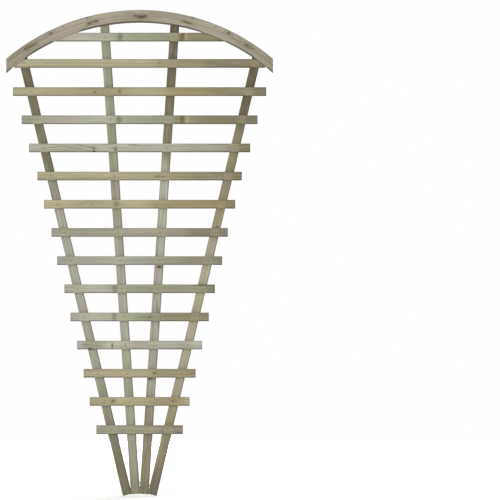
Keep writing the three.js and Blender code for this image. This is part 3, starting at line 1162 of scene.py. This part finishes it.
def build_slats(rail, uprights, nail):
    """The slats, each nailed to every upright that it crosses. The top one is clear of the outer ones."""
    slat_names = sorted(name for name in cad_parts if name.startswith("slat_"))
    for i, slat_name in enumerate(slat_names):
        low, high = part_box(slat_name)
        height = (low.z + high.z) / 2
        entries = []
        for place, upright in uprights.items():
            if i == 0 and place.endswith("outer"):
                continue
            entry = Vector((upright.centre_line(height), low.y, height))
            build_nail(f"{slat_name}_{place}", nail, entry)
            entries.append(entry)
        slat = Slat(slat_name, FIRST_SLAT_SEED + i, rail, [entry.x for entry in entries])
        build_timber(slat_name, slat, "slat_timber", entries)


def build_rail(rail, uprights, nail):
    """The rail, with a nail into the top of each upright."""
    entries = []
    for place in uprights:
        low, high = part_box(f"nail_arch_rail_{place}")
        entry = Vector(((low.x + high.x) / 2, rail.middle_y - rail.half_depth, (low.z + high.z) / 2))
        build_nail(f"arch_rail_{place}", nail, entry)
        entries.append(entry)
    build_timber("arch_rail", rail, "rail_timber", entries)


def build_trellis():
    steel = steel_material()
    rail = Rail("arch_rail", RAIL_SEED)
    uprights = {}
    for i, place in enumerate(("left_outer", "left_inner", "right_inner", "right_outer")):
        uprights[place] = Upright(f"upright_{place}", FIRST_UPRIGHT_SEED + i, rail)
    build_slats(rail, uprights, nail_mesh("slat_nail", "nail_slat_02_left_outer", steel))
    build_rail(rail, uprights, nail_mesh("rail_nail", "nail_arch_rail_left_outer", steel))
    for place, upright in uprights.items():
        build_timber(f"upright_{place}", upright, "upright_timber")
    for side_name in SCREW_HEIGHTS:
        build_screw(side_name, uprights[f"{side_name}_outer"], steel)


# The camera looks square on at the trellis from far off. The frame's middle is right of the trellis.
FRAME_WIDTH = 1.8835
FRAME_MIDDLE = (0.4155, 0.9263)
LENS = 400
SENSOR = 36


def build_camera():
    data = bpy.data.cameras.new("camera")
    data.lens = LENS
    data.sensor_width = SENSOR
    camera = new_object("camera", data)
    distance = FRAME_WIDTH * LENS / SENSOR
    camera.location = (FRAME_MIDDLE[0], -distance, FRAME_MIDDLE[1])
    camera.rotation_euler = (math.radians(90), 0, 0)
    bpy.context.scene.camera = camera


# The studio: a large soft lamp left of the camera, one like it behind, an even fill and a pale floor.
LAMP_PLACES = {"front": (-1.6, -6.4, 1.7), "back": (2.2, 6.3, 2.6)}
LAMP_POWERS = {"front": 214, "back": 196}
LAMP_AIM = (0, 0, 0.95)
LAMP_SIZE = 3.2
FILL_STRENGTH = 0.46
WHITE = (1, 1, 1, 1)
FLOOR_SIZE = 12
FLOOR_COLOUR = "f2f2f0"
FLOOR_ROUGHNESS = 0.9
FLOOR_GLOW = 0.38
FLOOR_WHITENING = (1.5, 5.5)


def build_lamp(name):
    data = bpy.data.lights.new(f"{name}_lamp", "AREA")
    data.size = LAMP_SIZE
    data.energy = LAMP_POWERS[name]
    lamp = new_object(f"{name}_lamp", data)
    lamp.location = LAMP_PLACES[name]
    aim = Vector(LAMP_AIM) - lamp.location
    lamp.rotation_euler = aim.to_track_quat("-Z", "Y").to_euler()


def seen_rays(tree):
    """1 for the rays that see a background: the camera's, and those in reflections and through glass."""
    path = tree.nodes.new("ShaderNodeLightPath")
    total = path.outputs["Is Camera Ray"]
    for name in ("Is Glossy Ray", "Is Transmission Ray"):
        highest = tree.nodes.new("ShaderNodeMath")
        highest.operation = "MAXIMUM"
        tree.links.new(total, highest.inputs[0])
        tree.links.new(path.outputs[name], highest.inputs[1])
        total = highest.outputs[0]
    return total


def build_world():
    world = bpy.data.worlds.new("studio")
    bpy.context.scene.world = world
    world.use_nodes = True
    tree = world.node_tree
    background = tree.nodes["Background"]
    background.inputs["Color"].default_value = WHITE
    strength = tree.nodes.new("ShaderNodeMapRange")
    strength.inputs["To Min"].default_value = FILL_STRENGTH
    tree.links.new(seen_rays(tree), strength.inputs["Value"])
    tree.links.new(strength.outputs["Result"], background.inputs["Strength"])


def build_floor():
    """A pale floor that shows white to the camera, apart from the trellis's soft shadow.

    Its glow rises toward the rim, so that the floor runs into the white background without a seam.
    """
    mesh = bmesh.new()
    bmesh.ops.create_grid(mesh, x_segments=1, y_segments=1, size=FLOOR_SIZE / 2)
    graph = Graph("pale_floor")
    off_middle = graph.length(graph.object_place())
    glow = graph.spread(off_middle, *FLOOR_WHITENING, FLOOR_GLOW, 1)
    graph.paint(
        base_color=linear(FLOOR_COLOUR),
        roughness=FLOOR_ROUGHNESS,
        emission_color=WHITE,
        emission_strength=graph.math("MULTIPLY", seen_rays(graph.tree), glow),
    )
    data = finished(mesh, "studio_floor")
    data.materials.append(graph.material)
    new_object("studio_floor", data)


build_camera()
for lamp_name in LAMP_PLACES:
    build_lamp(lamp_name)
build_world()
build_floor()
build_trellis()
bpy.context.scene.view_settings.view_transform = "Standard"
